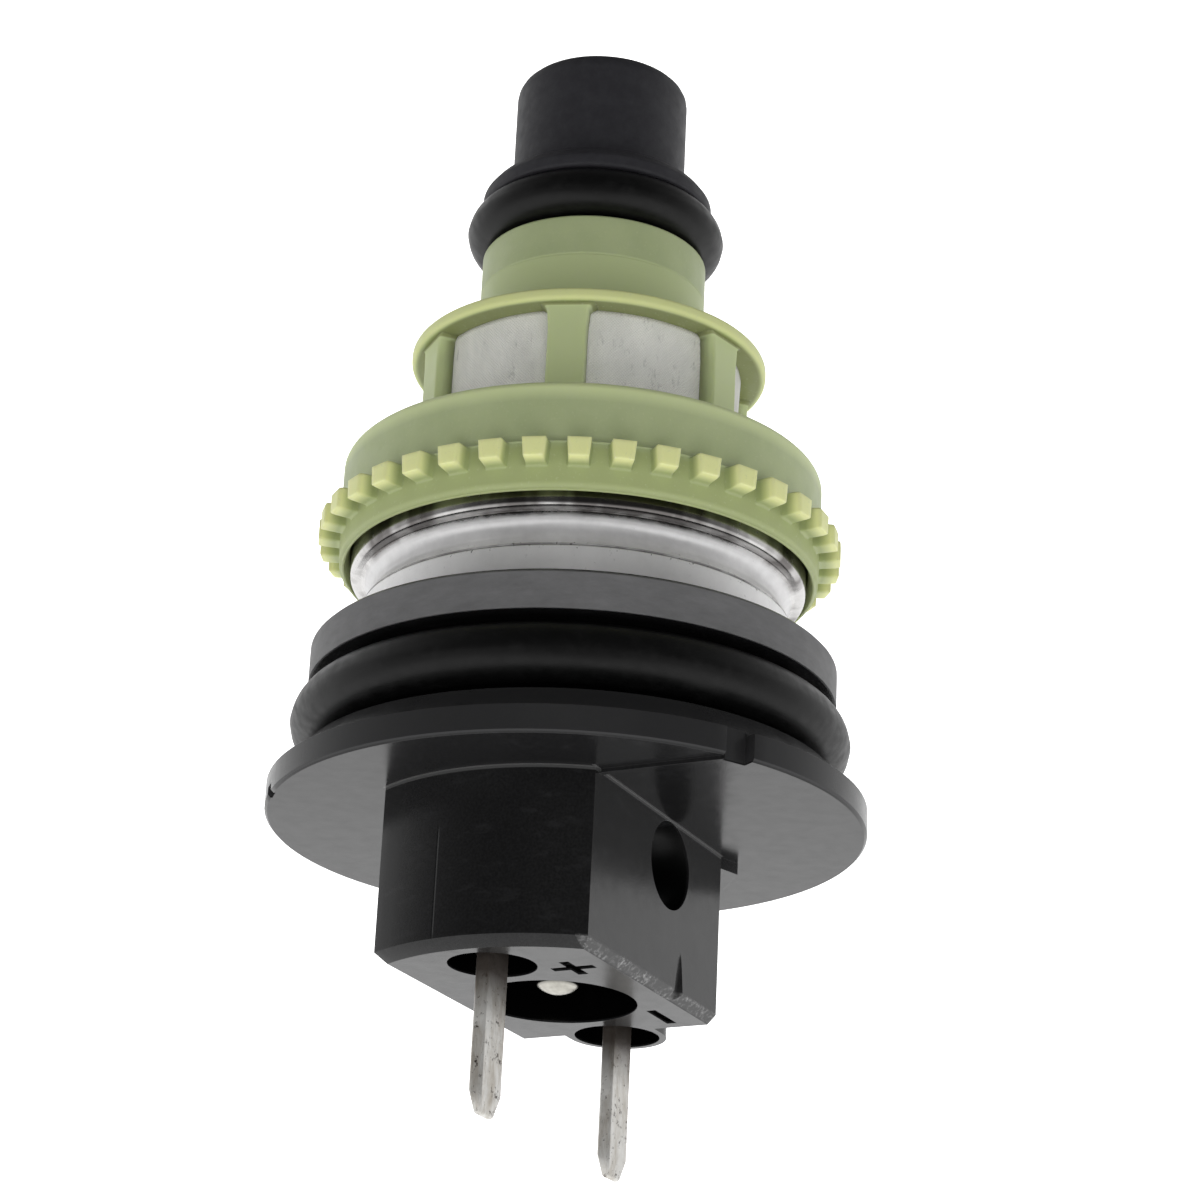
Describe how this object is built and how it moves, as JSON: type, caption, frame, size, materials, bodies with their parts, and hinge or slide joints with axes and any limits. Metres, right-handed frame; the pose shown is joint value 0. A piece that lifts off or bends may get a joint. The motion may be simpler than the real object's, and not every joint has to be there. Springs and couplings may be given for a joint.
{
  "type": "fuel injector",
  "caption": "Single-point solenoid fuel injector with round flange, two blade terminals, clip-on strainer, two seal rings and a push-fit nozzle cap.",
  "frame": {"origin": "on the injector's axis, in the plane of the flange's seating face", "axes": "+Z along the axis towards the terminals, the nozzle points to -Z; the two terminals stand on the X axis, plus at +X; the latch hole faces -Y"},
  "size_m": [0.03, 0.03, 0.0581],
  "materials": {
    "black_plastic": "moulded black glass-filled nylon, satin where it was polished",
    "green_plastic": "moulded sage-green nylon, slightly translucent, satin",
    "housing_steel": "turned and rolled steel, bright, with fine turning marks",
    "terminal_tin": "tin-plated brass blade, lightly stained",
    "seal_rubber": "black rubber with a light oil sheen",
    "cap_plastic": "soft blue-black polyethylene",
    "mesh_fabric": "fine woven filter gauze",
    "valve_steel": "ground and hardened stainless steel",
    "magnet_iron": "soft magnetic steel, turned",
    "spring_steel": "drawn spring wire",
    "bobbin_plastic": "natural nylon",
    "coil_copper": "enamelled copper wire"
  },
  "bodies": {
    "injector": {"connector_block": "black_plastic", "terminal_plus": "terminal_tin", "terminal_minus": "terminal_tin", "adjusting_pin": "terminal_tin", "upper_o_ring": "seal_rubber", "magnet_cup": "housing_steel", "coil_bobbin": "bobbin_plastic", "coil_winding": "coil_copper", "coil_leads": "coil_copper", "stator_core": "magnet_iron", "core_o_ring": "seal_rubber", "coil_o_ring": "seal_rubber", "return_spring": "spring_steel", "pole_ring": "magnet_iron", "lift_shim": "valve_steel", "housing_ring": "housing_steel", "body_o_ring": "seal_rubber", "stop_plate": "valve_steel", "valve_carrier": "valve_steel", "valve_body": "valve_steel", "strainer_basket": "green_plastic", "filter_mesh": "mesh_fabric", "nozzle_o_ring": "seal_rubber"},
    "needle": {"armature": "magnet_iron", "valve_needle": "valve_steel"},
    "cap": {"protective_cap": "cap_plastic"}
  },
  "joints": [
    {"name": "needle_lift", "type": "slide", "parent": "injector", "child": "needle", "axis": [0, 0, 1], "range_m": [0, 0.00006], "stiffness_N_per_m": 1500, "springref_m": -0.002, "deforming": ["return_spring"]},
    {"name": "cap_pull", "type": "slide", "parent": "injector", "child": "cap", "axis": [0, 0, -1], "range_m": [0, 0.012]}
  ]
}
